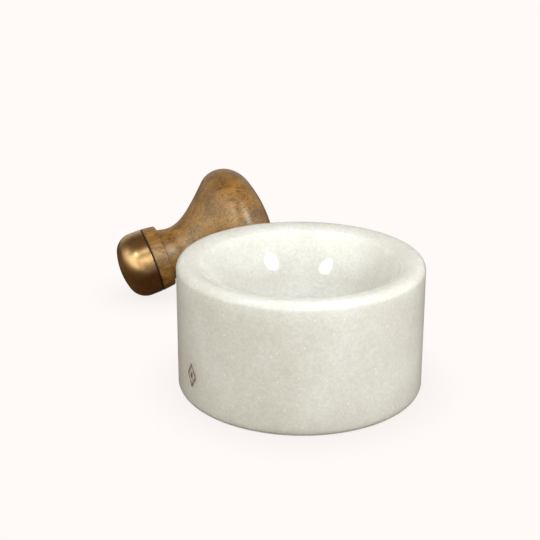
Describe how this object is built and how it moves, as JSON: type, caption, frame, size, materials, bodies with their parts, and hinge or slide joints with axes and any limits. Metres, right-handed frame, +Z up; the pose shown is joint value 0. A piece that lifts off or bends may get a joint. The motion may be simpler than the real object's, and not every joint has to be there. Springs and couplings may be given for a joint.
{
  "type": "mortar and pestle",
  "caption": "Cylindrical white marble mortar with a rounded hollow, and a turned wooden pestle with a brass cap lying beside it.",
  "frame": {"origin": "centre of the marble bowl's underside, which is the surface that the set stands on", "axes": "+Z up along the bowl's axis; -Y is the bowl's front and +Y points to the pestle lying behind it"},
  "size_m": [0.1813, 0.2504, 0.0785],
  "materials": {
    "white_marble": "polished, fine crystalline sparkle",
    "brown_filler": "matte",
    "oiled_wood": "oiled, satin, fine dark pores",
    "satin_brass": "satin, brushed around the axis",
    "zinc_steel": "zinc plated",
    "dark_adhesive": "matte"
  },
  "bodies": {
    "bowl": {"marble_bowl": "white_marble", "engraving_fill": "brown_filler"},
    "pestle": {"wooden_pestle": "oiled_wood", "brass_cap": "satin_brass", "cap_stud": "zinc_steel", "seam_adhesive": "dark_adhesive"}
  },
  "joints": [
    {"name": "pestle_lift", "type": "slide", "parent": "bowl", "child": "pestle", "axis": [0, 0, 1], "range_m": [0, 0.12]}
  ]
}
